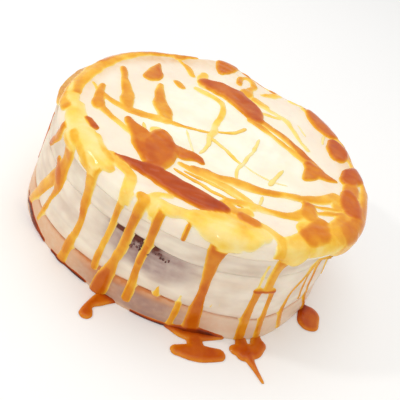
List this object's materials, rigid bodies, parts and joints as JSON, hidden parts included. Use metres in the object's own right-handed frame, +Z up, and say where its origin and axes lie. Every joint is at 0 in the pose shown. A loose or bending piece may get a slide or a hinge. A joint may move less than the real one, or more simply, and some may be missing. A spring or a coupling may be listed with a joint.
{
  "type": "cheesecake",
  "caption": "Whole round iced cheesecake in layers, with a thick cream top and poured caramel that drips down its sides.",
  "frame": {"origin": "middle of the flat underside", "axes": "+Z up through the cream top, -Y towards the front of the cake"},
  "size_m": [0.2198, 0.2345, 0.0792],
  "materials": {
    "soaked_base": "pale sponge under thin cream, tinted by caramel, soft and slightly moist",
    "iced_side": "thin scraped cream over sponge, satin",
    "iced_shoulder": "thin scraped cream over sponge, satin",
    "cream": "thick whipped cream spread with a knife, soft sheen",
    "caramel": "glossy poured caramel, golden where thin and deep amber where thick"
  },
  "bodies": {
    "root": {"bottom_layer": "soaked_base", "middle_layer": "iced_side", "top_layer": "iced_shoulder", "cream_top": "cream"}
  },
  "joints": []
}
